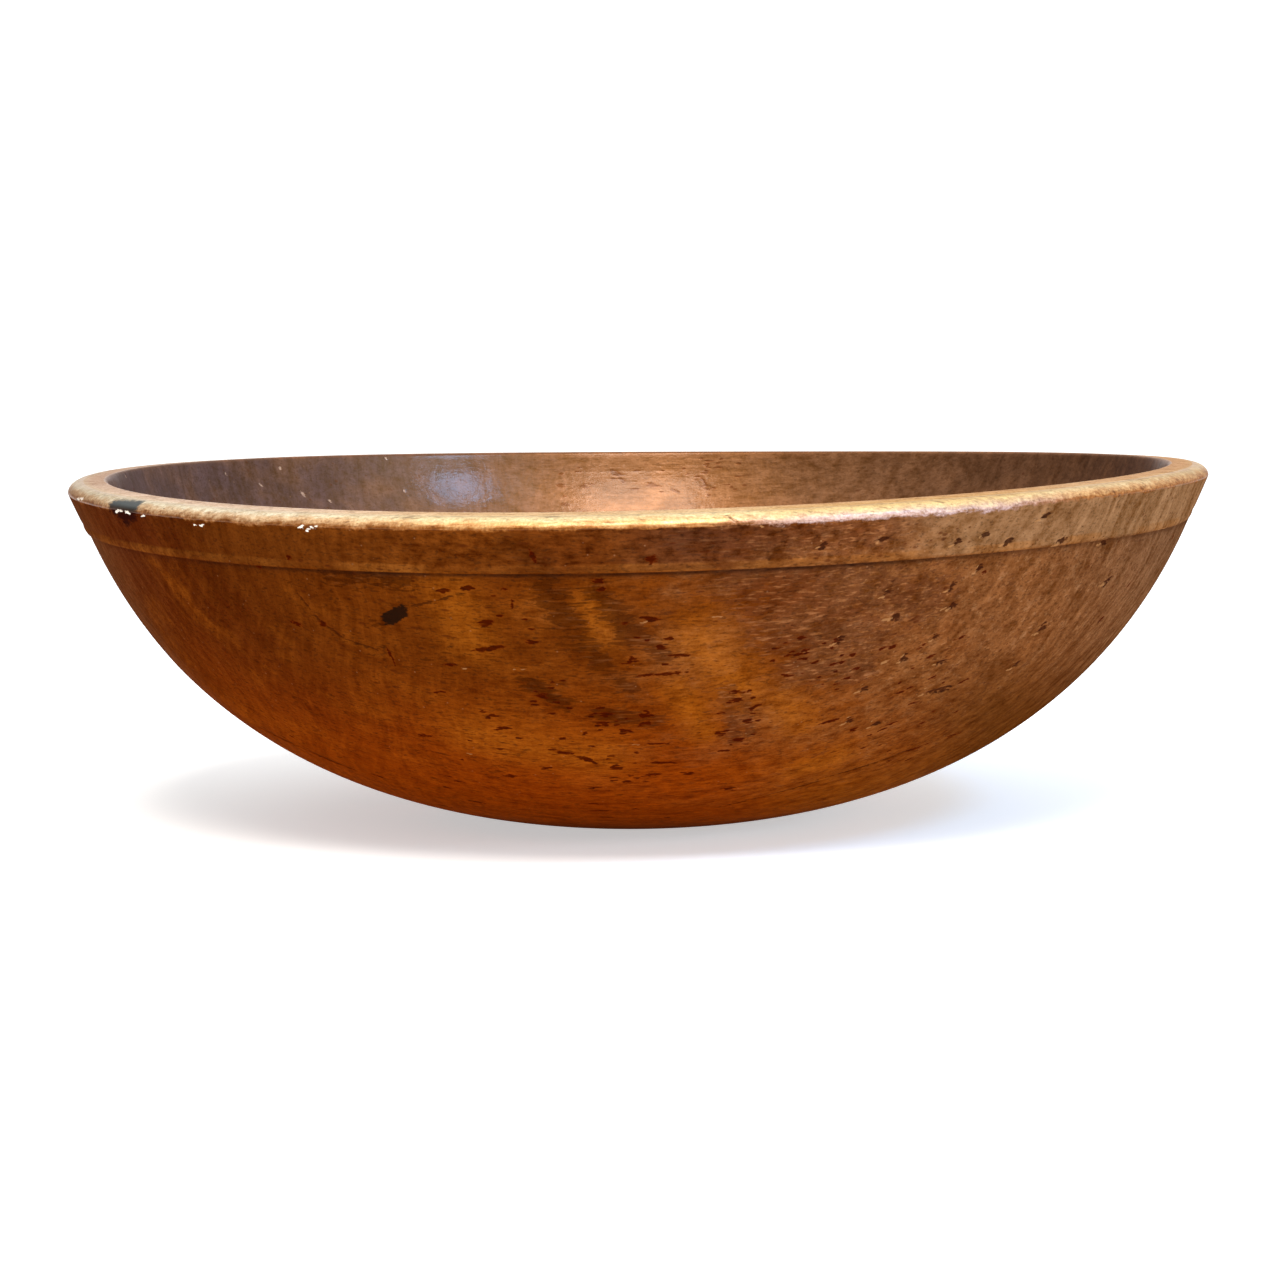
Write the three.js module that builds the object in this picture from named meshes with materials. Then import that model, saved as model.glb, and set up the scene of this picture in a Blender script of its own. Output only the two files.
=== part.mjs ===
// Wooden salad bowl, turned on a lathe from one block of flecked hardwood.
// Millimetres, +Z up. The origin is the middle of the flat foot that the bowl stands on.
// X is the wide way of the bowl. The fibres of the block run along X, turned by grainTurn.
import * as THREE from 'three';

// Driving dimensions of the body
const rimRadius = 152.5; // half the width across the rim's widest ring
const height = 92.4; // from the foot to the top of the rim
const footRadius = 32; // flat face under the bowl
const floorThickness = 12; // wood under the middle of the hollow
const wallThickness = 9.5; // wood square to the wall, just under the band

// Driving dimensions of the rim
const rimWidth = 10.8; // from the widest ring to the inner edge
const rimFall = 0.4; // fall of the top from its inner edge to the worn outer corner
const cornerWidth = 4.2; // worn outer corner, across
const cornerDrop = 3; // worn outer corner, down to the widest ring
const innerEdgeRound = 1.2; // radius of the softened inner edge

// Driving dimensions of the band under the rim
const bandHeight = 11; // from the widest ring to the band's lower edge
const bandTaper = 4.3; // how far the band draws in over its height
const bandStep = 0.9; // step from the band's lower edge in to the body
const beadHeight = 2.2; // small bead along the band's lower edge
const beadProud = 0.35; // how far the bead stands out of the band

// Sweep of the body's curve, from the foot up to the band
const footRise = THREE.MathUtils.degToRad(7); // slope at which the body leaves the foot
const footReach = 55; // how far the shallow lower sweep carries
const wallLean = 0.44; // outward lean of the wall under the band, across over up
const wallReach = 49; // how far the steep upper sweep carries

// Movement of the wood as it dried
const grainTurn = THREE.MathUtils.degToRad(-15); // heading of the fibres, from X
const shrinkage = 0.03; // share of its width that the bowl lost across the fibres
const rimLift = 1.75; // rise of the rim at the ends of the fibres, and its fall between them

// Facets
const stepsAround = 80;
const bodySteps = 12;
const cornerSteps = 5;
const edgeSteps = 3;
const beadSteps = 4;
const floorSteps = 4;

// Heights and radii that follow from the driving dimensions
const widestHeight = height - rimFall - cornerDrop;
const bandFootHeight = widestHeight - bandHeight;
const bandFootRadius = rimRadius - bandTaper;
const beadTopRadius = bandFootRadius + bandTaper * beadHeight / bandHeight;
const innerEdgeRadius = rimRadius - rimWidth;

// Outside of the body: one curve from the foot's edge to the step under the band
function bodyCurve() {
  const foot = new THREE.Vector2(footRadius, 0);
  const top = new THREE.Vector2(bandFootRadius - bandStep, bandFootHeight);
  const lowerSweep = new THREE.Vector2(Math.cos(footRise), Math.sin(footRise)).multiplyScalar(footReach);
  const upperSweep = new THREE.Vector2(wallLean, 1).setLength(wallReach);
  return new THREE.CubicBezierCurve(foot, foot.clone().add(lowerSweep), top.clone().sub(upperSweep), top);
}

// Bead along the band's lower edge, bulging out of the band's straight face
function beadCurve() {
  const low = new THREE.Vector2(bandFootRadius, bandFootHeight);
  const high = new THREE.Vector2(beadTopRadius, bandFootHeight + beadHeight);
  const bulge = low.clone().add(high).multiplyScalar(0.5);
  bulge.x += 2 * beadProud;
  return new THREE.QuadraticBezierCurve(low, bulge, high);
}

// Worn outer corner of the rim, from the widest ring over to the top
function cornerCurve() {
  return new THREE.EllipseCurve(
    rimRadius - cornerWidth, widestHeight, cornerWidth, cornerDrop, 0, Math.PI / 2);
}

// Softened inner edge of the rim, from the top over to the inner wall
function innerEdgeCurve() {
  return new THREE.EllipseCurve(
    innerEdgeRadius + innerEdgeRound, height - innerEdgeRound,
    innerEdgeRound, innerEdgeRound, Math.PI / 2, Math.PI - Math.atan(wallLean));
}

// Inside wall: the outside curve moved in by the wood, which thickens towards the floor
function hollowWall(body) {
  const dish = footRadius * Math.tan(footRise) / 2;
  const points = [];
  for (let i = 0; i <= bodySteps; i++) {
    const t = 1 - i / bodySteps;
    const wood = THREE.MathUtils.lerp(floorThickness + dish, wallThickness, t);
    const along = body.getTangent(t);
    const inward = new THREE.Vector2(-along.y, along.x);
    points.push(body.getPoint(t).addScaledVector(inward, wood));
  }
  return points;
}

// Floor of the hollow: a shallow dish from the end of the inside wall to the axis
function hollowFloor(wallEnd) {
  const middle = new THREE.Vector2(0, floorThickness);
  const bend = new THREE.Vector2(wallEnd.x / 2, floorThickness);
  return new THREE.QuadraticBezierCurve(wallEnd, bend, middle).getPoints(floorSteps).slice(1);
}

// Half section, from the middle of the foot, up the outside, over the rim and down the inside
function halfSection() {
  const body = bodyCurve();
  const wall = hollowWall(body);
  return [
    new THREE.Vector2(0, 0),
    ...body.getPoints(bodySteps),
    ...beadCurve().getPoints(beadSteps),
    ...cornerCurve().getPoints(cornerSteps),
    ...innerEdgeCurve().getPoints(edgeSteps),
    ...wall,
    ...hollowFloor(wall.at(-1)),
  ];
}

// The turned blank dries: it narrows across the fibres and its rim takes a saddle shape,
// while the foot stays flat
function season(geometry) {
  const position = geometry.attributes.position;
  const cos = Math.cos(grainTurn);
  const sin = Math.sin(grainTurn);
  for (let i = 0; i < position.count; i++) {
    const x = position.getX(i);
    const y = position.getY(i);
    const z = position.getZ(i);
    const along = x * cos + y * sin;
    const across = y * cos - x * sin;
    const lift = rimLift * (along ** 2 - across ** 2) / rimRadius ** 2;
    const drawnIn = across * (1 - shrinkage);
    position.setXYZ(i, along * cos - drawnIn * sin, along * sin + drawnIn * cos, z * (1 + lift / height));
  }
  geometry.computeVertexNormals();
}

function makeBowl() {
  const geometry = new THREE.LatheGeometry(halfSection(), stepsAround);
  geometry.rotateX(Math.PI / 2);
  season(geometry);
  const oiledWood = new THREE.MeshStandardMaterial({ color: 0x7c3d12, roughness: 0.4, metalness: 0 });
  const bowl = new THREE.Mesh(geometry, oiledWood);
  bowl.name = 'bowl';
  return bowl;
}

const saladBowl = new THREE.Group();
saladBowl.add(makeBowl());

export default saladBowl;
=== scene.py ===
import math
import random
from collections import namedtuple
from functools import reduce

import bmesh
import bpy
import numpy as np
from mathutils import Matrix, Vector
from mathutils.bvhtree import BVHTree


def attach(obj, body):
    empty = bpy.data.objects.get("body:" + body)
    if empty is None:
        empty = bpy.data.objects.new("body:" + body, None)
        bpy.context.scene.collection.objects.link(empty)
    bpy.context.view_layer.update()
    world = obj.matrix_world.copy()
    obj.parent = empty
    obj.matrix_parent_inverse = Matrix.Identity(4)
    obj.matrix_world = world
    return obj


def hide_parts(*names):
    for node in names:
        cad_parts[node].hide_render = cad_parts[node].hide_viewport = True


# A turned wooden salad bowl: its fine surface, its worn finish and a soft studio around it.
# Sizes are millimetres in the object's own frame and become metres when the mesh is made.
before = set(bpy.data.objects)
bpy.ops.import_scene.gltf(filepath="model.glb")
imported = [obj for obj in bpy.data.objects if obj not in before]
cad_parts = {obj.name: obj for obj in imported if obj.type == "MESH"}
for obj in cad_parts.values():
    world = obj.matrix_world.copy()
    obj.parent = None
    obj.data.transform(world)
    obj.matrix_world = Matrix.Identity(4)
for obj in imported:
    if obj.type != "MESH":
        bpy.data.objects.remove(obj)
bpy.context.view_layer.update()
MM = 0.001

# Section of the bowl, with the solid's own sizes
RIM_RADIUS = 152.5
HEIGHT = 92.4
FOOT_RADIUS = 32
FLOOR_THICKNESS = 12
WALL_THICKNESS = 9.5
RIM_WIDTH = 10.8
RIM_FALL = 0.4
CORNER_WIDTH = 4.2
CORNER_DROP = 3
INNER_EDGE_ROUND = 1.2
BAND_HEIGHT = 11
BAND_TAPER = 4.3
BAND_STEP = 0.9
BEAD_HEIGHT = 2.2
BEAD_PROUD = 0.35
FOOT_RISE = math.radians(7)
FOOT_REACH = 55
WALL_LEAN = 0.44
WALL_REACH = 49

# Drying of the wood, as in the solid
GRAIN_TURN = math.radians(-15)
SHRINKAGE = 0.03
RIM_LIFT = 1.75
FIGURE_TURN = math.radians(-5)  # heading of the fine figure near the surface

# Small turned details and wear that only the fine surface has
BEAD_WEAR = 0.15  # how much the bead has been rubbed down
GROOVE_DEPTH = 0.06  # cut above the bead
GROOVE_WIDTH = 0.45
INNER_LINE_DROP = 5.7  # scored line inside, below the rim
INNER_LINE_DEPTH = 0.02
INNER_LINE_WIDTH = 0.5
INNER_LEAN = 0.3  # lean of the inside wall where it leaves the rim, across over up
INNER_BLEND = 0.08  # share of the hollow's curve that the inside wall takes over
RIGHT_WEAR = 1.1  # how far the band's lower edge is worn in at the right end
LEFT_WEAR = 0.45
LEFT_RISE = 1.0  # how much higher the band's lower edge lies at the left end
RISE_ROWS = 14  # rows of the body over which that rise fades out

# Photograph's frame and the camera that fits it
PHOTO_SIZE = 1280  # pixels each way
FOCAL_PIXELS = 4089  # focal length in those pixels
CAMERA_PLACE = Vector((0.16, -1100, 153))
CAMERA_PITCH = math.radians(5.5)
CAMERA_ROLL = math.radians(0.889)
SENSOR = 36  # width of the camera's sensor

# Grid of the fine mesh
COLUMNS = 288
FINE_STEPS = 8  # samples of the section between two rows
SEAM_TURN = 0  # the sheet closes at the right end, clear of the photograph's marks
REFINE_MARGINS = (1.6, 0.75, 0.3)  # how far round a mark each split of the faces reaches
SHARP_ANGLE = math.radians(50)  # edges that bend by more stay sharp

# Marks and patches at chance places
SCATTER_SEED = 11
SEAM_MARGIN = 0.15  # they keep this far from the seam, in radians
OUTER_SCATTER = 80  # flecks on the body
INNER_SCATTER = 30  # flecks in the hollow
SCATTER_LENGTHS = (2, 6)
SCATTER_WIDTHS = (0.7, 1.3)
FIELD_LENGTHS = (1, 3)
FIELD_WIDTHS = (0.5, 1.0)
FLAKES_IN_CHIP = 6
BACK_TURN = math.pi / 2  # middle of the half that the photograph doesn't show
BACK_SPREAD = 1.4  # radians to either side of it
BACK_LOW = 40  # lowest patches, along the section from the foot's edge
BACK_LEAN = 1.2  # radians that a patch may lean from the fibres
BACK_CLOUDS = 16
BACK_GLOWS = 12
BACK_LENGTHS = (8, 30)
BACK_WIDTHS = (2.5, 6)

# How deep the marks lie
FLECK_DEPTH = 0.12
FIELD_DEPTH = 0.08
SCATTER_DEPTH = 0.1
INNER_DEPTH = 0.03
INNER_SCATTER_DEPTH = 0.04
PIT_DEPTH = 0.4
KNOT_DEPTH = 0.15
CRACK_DEPTH = 0.2
NICK_DEPTH = 0.15
CHIP_DEPTH = 0.15
STAIN_DEPTH = 0.2

# Outline of a mark: the power of its curve, and multiples of its half length and half width
OVAL = 2
CLOUD_SQUARE = 3
KNOT_SQUARE = 4
MARK_FADE = 1.2  # where it has faded out
MARK_REACH = 1.3  # how far points are looked at

WIDEST_HEIGHT = HEIGHT - RIM_FALL - CORNER_DROP
BAND_FOOT_HEIGHT = WIDEST_HEIGHT - BAND_HEIGHT
BAND_FOOT_RADIUS = RIM_RADIUS - BAND_TAPER
INNER_EDGE_RADIUS = RIM_RADIUS - RIM_WIDTH
FIBRES = np.array([math.cos(FIGURE_TURN), math.sin(FIGURE_TURN), 0])

# Marks seen in the photograph: two ends in its pixels, then the width in millimetres
FLECKS = [
    (436, 591, 451, 590, 0.9), (461, 588, 476, 588, 1), (512, 599, 512, 609, 0.6),
    (477, 652, 507, 646, 1), (524, 642, 539, 642, 0.8), (442, 665, 457, 665, 0.7),
    (386, 647, 395, 663, 0.6), (432, 692, 448, 692, 0.6), (534, 696, 547, 696, 0.8),
    (528, 702, 538, 702, 0.6), (486, 716, 499, 716, 0.9), (497, 728, 513, 728, 1),
    (419, 736, 434, 736, 0.7), (595, 723, 612, 723, 1.1), (598, 714, 614, 714, 1),
    (629, 659, 637, 659, 0.8), (620, 731, 633, 731, 1), (636, 717, 654, 715, 1.2),
    (638, 724, 652, 724, 1), (582, 733, 589, 733, 0.6), (642, 619, 660, 619, 1),
    (654, 647, 667, 648, 1.1), (669, 656, 694, 655, 0.8), (644, 676, 690, 672, 1),
    (726, 692, 744, 692, 1), (728, 701, 744, 701, 0.9), (742, 721, 753, 722, 0.9),
    (714, 734, 726, 734, 0.9), (730, 740, 745, 739, 1.1), (716, 751, 730, 751, 0.9),
    (797, 638, 807, 637, 0.9), (797, 660, 807, 658, 0.7), (832, 642, 844, 640, 1.1),
    (849, 730, 858, 728, 0.8), (610, 769, 623, 768, 1.6), (606, 756, 616, 756, 0.8),
    (541, 768, 552, 768, 0.7), (503, 776, 520, 776, 0.8), (652, 763, 678, 763, 0.7),
    (646, 774, 662, 774, 0.8), (682, 774, 694, 774, 0.7), (619, 782, 634, 782, 0.6),
    (586, 788, 604, 787, 0.6), (718, 789, 738, 788, 0.9), (648, 744, 670, 744, 0.8),
    (631, 809, 641, 809, 0.6), (816, 801, 830, 799, 0.7), (558, 738, 566, 739, 0.6),
    (885, 762, 896, 758, 0.6), (893, 755, 923, 746, 0.6), (944, 738, 961, 732, 0.6),
    (478, 623, 495, 622, 1.3), (552, 752, 575, 754, 1), (575, 756, 597, 764, 1.3),
    (318, 621, 328, 626, 1.2), (646, 559, 658, 560, 1.9), (529, 549, 536, 563, 1),
    (590, 580, 604, 582, 1), (596, 591, 607, 589, 0.8), (255, 565, 262, 568, 0.8),
    (286, 556, 292, 558, 0.9),
]
INNER_FLECKS = [
    (610, 472, 624, 475, 1), (556, 485, 566, 487, 0.8), (580, 486, 590, 488, 0.7),
    (645, 485, 662, 487, 0.9), (670, 489, 680, 493, 0.8), (560, 504, 570, 505, 0.7),
    (700, 476, 706, 484, 0.7), (618, 478, 626, 482, 0.8),
]
PITS = [
    (836, 643, 846, 637, 1), (891, 619, 901, 613, 1.1), (949, 609, 959, 603, 1.1),
    (899, 662, 909, 656, 1.1), (935, 664, 950, 660, 0.9), (859, 691, 869, 687, 0.9),
    (923, 694, 950, 688, 0.9), (845, 723, 855, 719, 0.9), (870, 727, 881, 723, 0.9),
    (1037, 633, 1047, 625, 1), (1104, 584, 1114, 576, 1), (1004, 544, 1014, 538, 1),
    (981, 537, 991, 533, 0.9), (953, 545, 963, 541, 0.9), (819, 547, 829, 543, 1),
    (878, 542, 888, 538, 1), (1058, 544, 1068, 538, 0.9), (1100, 544, 1110, 538, 0.9),
    (1041, 519, 1051, 513, 0.8), (948, 590, 958, 582, 0.9), (932, 640, 940, 634, 1),
    (976, 572, 984, 566, 1), (1012, 668, 1022, 660, 1), (884, 596, 894, 590, 0.8),
]
KNOTS = [(384, 622, 405, 609, 3.4)]
RIM_KNOT = [
    (112, 504, 137, 503, 2.4), (112, 509, 134, 509, 2.2), (120, 516, 132, 516, 2),
    (125, 522, 129, 525, 1.2),
]
NICKS = [
    (125, 474, 127, 478, 0.6), (225, 472, 227, 476, 0.6), (259, 483, 263, 487, 0.7),
    (279, 466, 281, 470, 0.9), (300, 491, 306, 497, 0.9), (328, 499, 332, 503, 0.6),
    (403, 489, 405, 493, 0.6), (385, 457, 387, 460, 0.6), (512, 669, 516, 670, 0.4),
    (520, 670, 527, 669, 0.4), (640, 623, 648, 622, 0.6), (631, 745, 642, 745, 0.4),
    (465, 753, 474, 755, 0.4), (460, 668, 467, 669, 0.4), (881, 621, 891, 618, 0.8),
    (939, 612, 947, 607, 0.7), (880, 664, 890, 660, 0.9), (1158, 530, 1166, 528, 0.5),
    (712, 617, 724, 616, 0.5), (760, 526, 764, 527, 0.7),
]
CRACKS = [
    (251, 724, 305, 750, 1.6), (300, 748, 356, 771, 2.2), (711, 809, 768, 796, 1),
    (764, 797, 824, 780, 1.1), (820, 781, 926, 746, 1), (726, 513, 739, 524, 1),
    (296, 592, 312, 612, 0.9), (310, 610, 323, 625, 1), (322, 623, 347, 641, 0.9),
    (343, 639, 380, 651, 0.8), (408, 607, 440, 600, 0.7), (436, 601, 456, 595, 0.7),
]
CHIPS = [
    (78, 498, 83, 500, 0.7), (116, 511, 121, 511, 0.8), (124, 512, 132, 512, 0.9),
    (142, 516, 144, 516, 0.4), (194, 525, 203, 526, 0.6), (299, 526, 304, 527, 0.8),
    (305, 528, 313, 530, 0.9), (315, 526, 317, 526, 0.4),
]
# Soft patches: cloudy stains, and golden places between them
CLOUDS = [
    (545, 580, 571, 629, 4), (567, 622, 605, 668, 3), (605, 668, 632, 692, 2.5),
    (598, 591, 630, 640, 3), (628, 622, 662, 655, 2.5), (533, 684, 566, 706, 2.5),
    (735, 577, 850, 570, 6), (762, 603, 860, 605, 7), (778, 636, 870, 640, 7),
    (798, 668, 862, 670, 5), (728, 690, 736, 742, 2.2), (745, 695, 750, 735, 1.6),
    (690, 535, 790, 538, 5), (800, 538, 895, 528, 5), (505, 545, 540, 560, 3),
    (600, 715, 652, 722, 3.5), (330, 575, 400, 580, 2.5), (860, 590, 930, 600, 7),
    (372, 629, 388, 620, 1), (870, 530, 960, 512, 3), (872, 546, 892, 532, 0.8),
    (1006, 536, 1020, 519, 0.7), (952, 544, 968, 536, 0.7), (1084, 532, 1098, 512, 0.7),
]
GLOWS = [
    (700, 640, 745, 695, 7), (450, 600, 470, 640, 7), (480, 740, 600, 760, 9),
    (680, 690, 705, 735, 4), (840, 755, 800, 770, 4), (590, 605, 605, 635, 4),
    (780, 700, 800, 725, 5),
]
# Fields of small flecks: a box in the photograph's pixels, then how many
FLECK_FIELDS = [
    (770, 630, 860, 690, 30), (720, 685, 760, 745, 16), (590, 705, 660, 735, 12),
    (600, 750, 690, 790, 10), (620, 610, 670, 665, 8), (530, 680, 570, 710, 8),
    (860, 640, 960, 760, 26), (440, 580, 560, 780, 14),
]
INNER_FIELDS = [(555, 462, 690, 500, 12), (685, 458, 745, 498, 28)]
# Eyes in the figure: the middle in the photograph's pixels, then the radius in millimetres
EYES = [(567, 482, 8), (600, 585, 5), (595, 548, 7)]


# Section: each stretch is a function of t from 0 to 1 that gives radius and height

def line(start, end):
    start, end = np.array(start, float), np.array(end, float)
    return lambda t: start + np.outer(t, end - start)


def bezier(*points):
    points = np.array(points, float)
    order = len(points) - 1
    weights = [math.comb(order, k) for k in range(order + 1)]
    return lambda t: sum(
        w * np.outer((1 - t) ** (order - k) * t ** k, points[k]) for k, w in enumerate(weights))


def arc(centre, radii, start, end):
    def curve(t):
        angle = start + t * (end - start)
        return np.stack([centre[0] + radii[0] * np.cos(angle), centre[1] + radii[1] * np.sin(angle)], -1)
    return curve


def body_curve():
    top = np.array([BAND_FOOT_RADIUS - BAND_STEP, BAND_FOOT_HEIGHT])
    upper = WALL_REACH * np.array([WALL_LEAN, 1]) / math.hypot(WALL_LEAN, 1)
    lower = FOOT_REACH * np.array([math.cos(FOOT_RISE), math.sin(FOOT_RISE)])
    foot = np.array([FOOT_RADIUS, 0])
    return bezier(foot, foot + lower, top - upper, top)


def bead_top():
    share = BEAD_HEIGHT / BAND_HEIGHT
    return np.array([BAND_FOOT_RADIUS + BAND_TAPER * share, BAND_FOOT_HEIGHT + BEAD_HEIGHT])


def bead_curve():
    low = np.array([BAND_FOOT_RADIUS, BAND_FOOT_HEIGHT])
    bulge = (low + bead_top()) / 2 + np.array([2 * (BEAD_PROUD - BEAD_WEAR), 0])
    return bezier(low, bulge, bead_top())


def band_curve():
    straight = line(bead_top(), (RIM_RADIUS, WIDEST_HEIGHT))

    def curve(t):
        points = straight(t ** 1.5)  # rows crowd towards the groove
        above = points[:, 1] - bead_top()[1]
        points[:, 0] -= GROOVE_DEPTH * np.exp(-(above / GROOVE_WIDTH - 1) ** 2)
        return points
    return curve


def hollow_curve():
    outside = body_curve()
    dish = FOOT_RADIUS * math.tan(FOOT_RISE) / 2

    def curve(t):
        back = 1 - t
        nudge = 1e-4
        step = outside(back + nudge) - outside(back - nudge)
        along = step / np.linalg.norm(step, axis=1)[:, None]
        wood = FLOOR_THICKNESS + dish + (WALL_THICKNESS - FLOOR_THICKNESS - dish) * back
        return outside(back) + wood[:, None] * np.stack([-along[:, 1], along[:, 0]], -1)
    return curve


def inner_wall_curve(start, hollow):
    """From the rim's inner edge down into the hollow, with no kink at either end."""
    end, beyond = hollow(INNER_BLEND + np.array([0.0, 0.01]))
    reach = np.linalg.norm(end - start) / 3
    leave = reach * np.array([-INNER_LEAN, -1]) / math.hypot(INNER_LEAN, 1)
    arrive = reach * (beyond - end) / np.linalg.norm(beyond - end)
    smooth = bezier(start, start + leave, end - arrive, end)

    def curve(t):
        points = smooth(t)
        below = HEIGHT - points[:, 1] - INNER_LINE_DROP
        points[:, 0] += INNER_LINE_DEPTH * np.exp(-(below / INNER_LINE_WIDTH) ** 2)
        return points
    return curve


def make_section():
    """Stretches from the foot's middle, up the outside and down the inside: name, curve and rows."""
    hollow = hollow_curve()
    hollow_end = hollow(np.array([1.0]))[0]
    corner = arc((RIM_RADIUS - CORNER_WIDTH, WIDEST_HEIGHT), (CORNER_WIDTH, CORNER_DROP), 0, math.pi / 2)
    inner_edge = arc((INNER_EDGE_RADIUS + INNER_EDGE_ROUND, HEIGHT - INNER_EDGE_ROUND),
                     (INNER_EDGE_ROUND, INNER_EDGE_ROUND), math.pi / 2, math.pi - math.atan(INNER_LEAN))
    edge_start, edge_end = inner_edge(np.array([0.0, 1.0]))
    corner_end = corner(np.array([1.0]))[0]
    body_top = (BAND_FOOT_RADIUS - BAND_STEP, BAND_FOOT_HEIGHT)
    floor_middle = (0, FLOOR_THICKNESS)
    return [
        ("foot", line((0, 0), (FOOT_RADIUS, 0)), 5),
        ("body", body_curve(), 48),
        ("step", line(body_top, (BAND_FOOT_RADIUS, BAND_FOOT_HEIGHT)), 3),
        ("bead", bead_curve(), 6),
        ("band", band_curve(), 12),
        ("corner", corner, 11),
        ("top", line(corner_end, edge_start), 6),
        ("inner_edge", inner_edge, 5),
        ("inner_wall", inner_wall_curve(edge_end, hollow), 16),
        ("hollow", lambda t: hollow(INNER_BLEND + t * (1 - INNER_BLEND)), 28),
        ("floor", bezier(hollow_end, (hollow_end[0] / 2, FLOOR_THICKNESS), floor_middle), 8),
    ]


class Section:
    """The half section as a table against the row number, which may be a fraction."""

    def __init__(self):
        rows, points = [], []
        self.first_row = {}
        row = 0
        for name, curve, count in make_section():
            self.first_row[name] = row
            t = np.arange(count * FINE_STEPS) / (count * FINE_STEPS)
            rows.append(row + t * count)
            points.append(curve(t))
            row += count
        rows.append(np.array([row], float))
        points.append(np.array([[0, FLOOR_THICKNESS]], float))
        self.last_row = row
        self.rows = np.concatenate(rows)
        self.points = np.concatenate(points)
        steps = np.linalg.norm(np.diff(self.points, axis=0), axis=1)
        self.lengths = np.concatenate([[0], np.cumsum(steps)])

    def at(self, row):
        return (np.interp(row, self.rows, self.points[:, 0]), np.interp(row, self.rows, self.points[:, 1]))

    def length(self, row):
        return np.interp(row, self.rows, self.lengths)

    def start_of(self, name):
        """Length along the section where a stretch begins."""
        return float(self.length(self.first_row[name]))


section = Section()


def season(x, y, z):
    """Moves turned points to where they lie after the wood dried."""
    cos, sin = math.cos(GRAIN_TURN), math.sin(GRAIN_TURN)
    along = x * cos + y * sin
    across = y * cos - x * sin
    lift = RIM_LIFT * (along ** 2 - across ** 2) / RIM_RADIUS ** 2
    across = across * (1 - SHRINKAGE)
    return np.stack([along * cos - across * sin, along * sin + across * cos, z * (1 + lift / HEIGHT)], -1)


def band_wear(turn, row):
    """How far in the band's lower edge is worn: wholly at the right and partly at the left."""
    edges = [section.first_row[name] for name in ("step", "bead", "corner")]
    share = np.interp(row, edges, [0, 1, 0], left=0, right=0)
    right, left = (np.clip(side * np.cos(turn), 0, 1) ** 4 for side in (1, -1))
    return share * (RIGHT_WEAR * right + LEFT_WEAR * left)


def band_rise(turn, row):
    """How much higher the band's lower edge lies: the band is narrower at the left."""
    step, band, corner = (section.first_row[name] for name in ("step", "band", "corner"))
    share = np.interp(row, [step - RISE_ROWS, step, band, corner], [0, 1, 1, 0])
    return LEFT_RISE * share * np.clip(-np.cos(turn), 0, 1) ** 3


def surface(turn, row):
    radius, height = section.at(row)
    radius = radius - band_wear(turn, row)
    height = height + band_rise(turn, row)
    return season(radius * np.cos(turn), radius * np.sin(turn), height)


def surface_normal(turn, row):
    nudge = 1e-3
    around = surface(turn + nudge, row) - surface(turn - nudge, row)
    up = surface(turn, row + nudge) - surface(turn, row - nudge)
    normal = np.cross(around, up)
    return normal / np.linalg.norm(normal)


def add_object(name, data):
    """Puts a new object with this data into the scene."""
    added = bpy.data.objects.new(name, data)
    bpy.context.scene.collection.objects.link(added)
    return added


# Camera of the photograph

def camera_matrix():
    lean = Matrix.Rotation(math.pi / 2 - CAMERA_PITCH, 4, "X")
    roll = Matrix.Rotation(-CAMERA_ROLL, 4, "Z")
    return Matrix.Translation(CAMERA_PLACE) @ lean @ roll


def make_camera():
    data = bpy.data.cameras.new("camera")
    data.sensor_width = SENSOR
    data.lens = SENSOR * FOCAL_PIXELS / PHOTO_SIZE
    data.clip_start = 0.01
    data.clip_end = 100
    camera = add_object("camera", data)
    place = camera_matrix()
    place.translation *= MM
    camera.matrix_world = place
    bpy.context.scene.camera = camera


# Marks in the wood: each is a rounded patch on the surface, sunk a little

Mark = namedtuple("Mark", "kind middle along across half_length half_width depth square")


class Photo:
    """Finds the place on the bowl that a pixel of the photograph shows."""

    def __init__(self, sheet):
        flat = np.array([v.co[:2] for v in sheet.verts])
        sheet.verts.index_update()
        faces = [[v.index for v in face.verts] for face in sheet.faces]
        self.tree = BVHTree.FromPolygons(surface(flat[:, 0], flat[:, 1]).tolist(), faces)
        self.turn = camera_matrix().to_3x3()

    def ray(self, x, y):
        half = PHOTO_SIZE / 2
        return (self.turn @ Vector((x - half, half - y, -FOCAL_PIXELS))).normalized()

    def place(self, x, y):
        ray = self.ray(x, y)
        point, normal, _, _ = self.tree.ray_cast(CAMERA_PLACE, ray)
        if normal.dot(ray) > 0:
            normal = -normal
        return np.array(point), np.array(normal)

    def on_flat(self, x, y, middle, normal):
        """Place that a pixel shows on the flat that touches the bowl at the middle."""
        ray, camera = np.array(self.ray(x, y)), np.array(CAMERA_PLACE)
        return camera + ray * ((middle - camera) @ normal) / (ray @ normal)

    def mark(self, kind, ends, depth, square=OVAL):
        x0, y0, x1, y1, width = ends
        middle, normal = self.place((x0 + x1) / 2, (y0 + y1) / 2)
        span = self.on_flat(x1, y1, middle, normal) - self.on_flat(x0, y0, middle, normal)
        length = np.linalg.norm(span)
        along = span / length
        across = np.cross(normal, along)
        return Mark(kind, middle, along, across, length / 2, width / 2, depth, square)


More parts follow.
